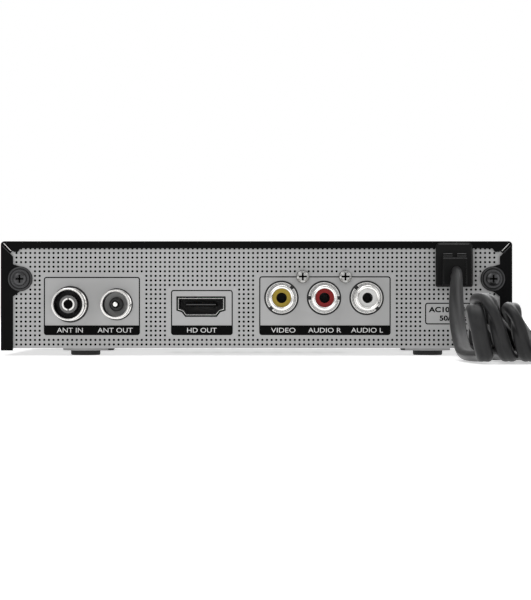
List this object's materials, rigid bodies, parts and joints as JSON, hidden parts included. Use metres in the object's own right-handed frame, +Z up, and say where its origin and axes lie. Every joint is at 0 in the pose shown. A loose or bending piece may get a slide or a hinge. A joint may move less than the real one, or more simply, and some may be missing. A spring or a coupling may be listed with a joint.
{
  "type": "digital television receiver",
  "caption": "Slim set-top television receiver with a folded steel case, rear aerial, video and phono sockets, front buttons and a captive flat mains cord.",
  "frame": {"origin": "middle of the receiver's footprint, on the surface that its feet stand on", "axes": "+Z up, +Y towards the front bezel, -Y towards the rear sockets, +X to the right when looking at the rear panel"},
  "size_m": [0.2309, 0.2449, 0.0376],
  "materials": {
    "cover_black": "semi-matt black paint",
    "panel_grey": "matt grey paint",
    "black_screw": "black zinc",
    "zinc_screw": "bright zinc",
    "plated": "bright nickel plate",
    "tinned": "tinned sheet",
    "white_insulator": "white plastic",
    "yellow_insert": "yellow plastic",
    "red_insert": "red plastic",
    "black_plastic": "black moulding",
    "gloss_black": "polished black moulding",
    "smoked_window": "dark red smoked acrylic",
    "button_grey": "dark grey moulding",
    "plunger_plastic": "coloured moulding",
    "circuit_board": "green solder resist",
    "heatsink_alloy": "plain extrusion",
    "choke_core": "wound core",
    "white_header": "natural nylon",
    "capacitor_sleeve": "sleeved can",
    "ribbon_grey": "grey flat cable",
    "lead_insulation": "insulated wire",
    "foot_rubber": "black rubber",
    "cord_sheath": "black flexible sheath"
  },
  "bodies": {
    "receiver": {"top_cover": "cover_black", "chassis_tray": "panel_grey", "cover_screws": "black_screw", "phono_screws": "zinc_screw", "board_screws": "zinc_screw", "aerial_input_shell": "plated", "aerial_input_contact": "plated", "aerial_output_shell": "plated", "aerial_output_pin": "plated", "video_port_shell": "plated", "video_jack_shell": "plated", "audio_right_jack_shell": "plated", "audio_left_jack_shell": "plated", "memory_port_shell": "plated", "plug_pins": "plated", "tuner_can": "tinned", "aerial_input_insulator": "white_insulator", "aerial_output_insulator": "white_insulator", "audio_left_jack_insert": "white_insulator", "video_jack_insert": "yellow_insert", "audio_right_jack_insert": "red_insert", "phono_block": "black_plastic", "video_port_tongue": "black_plastic", "memory_port_tongue": "black_plastic", "processor_chip": "black_plastic", "memory_chip": "black_plastic", "power_switch": "black_plastic", "channel_up_switch": "black_plastic", "channel_down_switch": "black_plastic", "infrared_receiver": "black_plastic", "cord_grommet": "black_plastic", "cord_tie": "black_plastic", "front_bezel": "gloss_black", "led_display": "gloss_black", "display_window": "smoked_window", "main_board": "circuit_board", "power_board": "circuit_board", "display_board": "circuit_board", "processor_heatsink": "heatsink_alloy", "mains_choke": "choke_core", "transformer": "choke_core", "ribbon_headers": "white_header", "mains_header": "white_header", "electrolytic_capacitors": "capacitor_sleeve", "power_ribbon": "ribbon_grey", "display_ribbon": "ribbon_grey", "mains_leads": "lead_insulation", "rubber_feet": "foot_rubber", "power_cord_lead": "cord_sheath", "power_cord_hank": "cord_sheath", "power_cord_tail": "cord_sheath", "plug_body": "cord_sheath"},
    "power_key": {"power_button": "button_grey", "power_plunger": "plunger_plastic"},
    "channel_up_key": {"channel_up_button": "button_grey", "channel_up_plunger": "plunger_plastic"},
    "channel_down_key": {"channel_down_button": "button_grey", "channel_down_plunger": "plunger_plastic"}
  },
  "joints": [
    {"name": "power_press", "type": "slide", "parent": "receiver", "child": "power_key", "axis": [0, -1, 0], "range_m": [0, 0.0004], "stiffness_N_per_m": 900},
    {"name": "channel_up_press", "type": "slide", "parent": "receiver", "child": "channel_up_key", "axis": [0, -1, 0], "range_m": [0, 0.0004], "stiffness_N_per_m": 900},
    {"name": "channel_down_press", "type": "slide", "parent": "receiver", "child": "channel_down_key", "axis": [0, -1, 0], "range_m": [0, 0.0004], "stiffness_N_per_m": 900}
  ]
}
